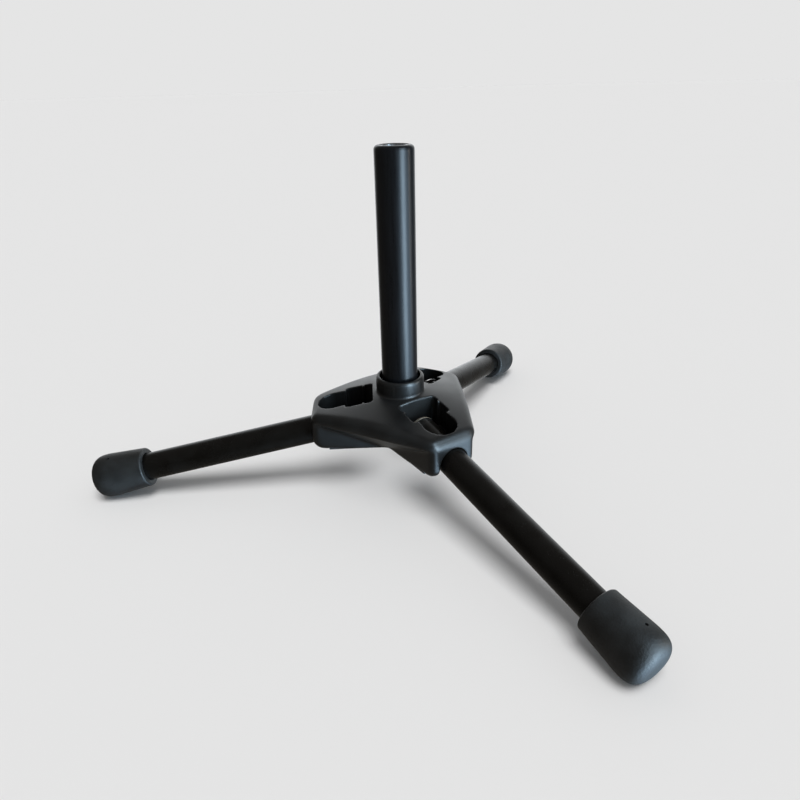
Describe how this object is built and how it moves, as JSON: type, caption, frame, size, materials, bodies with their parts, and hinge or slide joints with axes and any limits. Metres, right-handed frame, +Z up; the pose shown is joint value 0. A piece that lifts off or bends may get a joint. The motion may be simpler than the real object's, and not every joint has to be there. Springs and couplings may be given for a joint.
{
  "type": "trumpet stand",
  "caption": "Folding tripod stand with an upright post that a brass instrument's bell is set over.",
  "frame": {"origin": "on the floor, under the post's axis", "axes": "+Z up along the post, -Y towards the front leg, +X to the right seen from the front"},
  "size_m": [0.3228, 0.2824, 0.1913],
  "materials": {
    "hub_plastic": "fine grained, satin",
    "post_plastic": "satin",
    "bare_steel": "ground",
    "brass": "turned",
    "zinc_steel": "zinc plated",
    "black_steel": "blackened steel",
    "plate_steel": "black, satin",
    "leg_paint": "powder coated, satin",
    "cap_plastic": "moulded",
    "bush_plastic": "black nylon, moulded",
    "foot_rubber": "matt, finely textured"
  },
  "bodies": {
    "base": {"hub_body": "hub_plastic", "post_sleeve": "post_plastic", "post_tube": "bare_steel", "post_insert": "brass", "post_bolt": "zinc_steel", "post_washer": "zinc_steel", "keeper_plate": "plate_steel", "plate_screws": "zinc_steel", "front_pivot_pin": "black_steel", "right_pivot_pin": "black_steel", "left_pivot_pin": "black_steel"},
    "front_leg": {"front_leg_tube": "leg_paint", "front_leg_cap": "cap_plastic", "front_pivot_bush": "bush_plastic", "front_foot": "foot_rubber"},
    "right_leg": {"right_leg_tube": "leg_paint", "right_leg_cap": "cap_plastic", "right_pivot_bush": "bush_plastic", "right_foot": "foot_rubber"},
    "left_leg": {"left_leg_tube": "leg_paint", "left_leg_cap": "cap_plastic", "left_pivot_bush": "bush_plastic", "left_foot": "foot_rubber"}
  },
  "joints": [
    {"name": "front_leg_fold", "type": "hinge", "parent": "base", "child": "front_leg", "pos_m": [0, -0.038, 0.04065], "axis": [1, 0, 0], "range_deg": [0, 78]},
    {"name": "right_leg_fold", "type": "hinge", "parent": "base", "child": "right_leg", "pos_m": [0.03291, 0.019, 0.04065], "axis": [-0.5, 0.866, 0], "range_deg": [0, 78]},
    {"name": "left_leg_fold", "type": "hinge", "parent": "base", "child": "left_leg", "pos_m": [-0.03291, 0.019, 0.04065], "axis": [-0.5, -0.866, 0], "range_deg": [0, 78]}
  ]
}
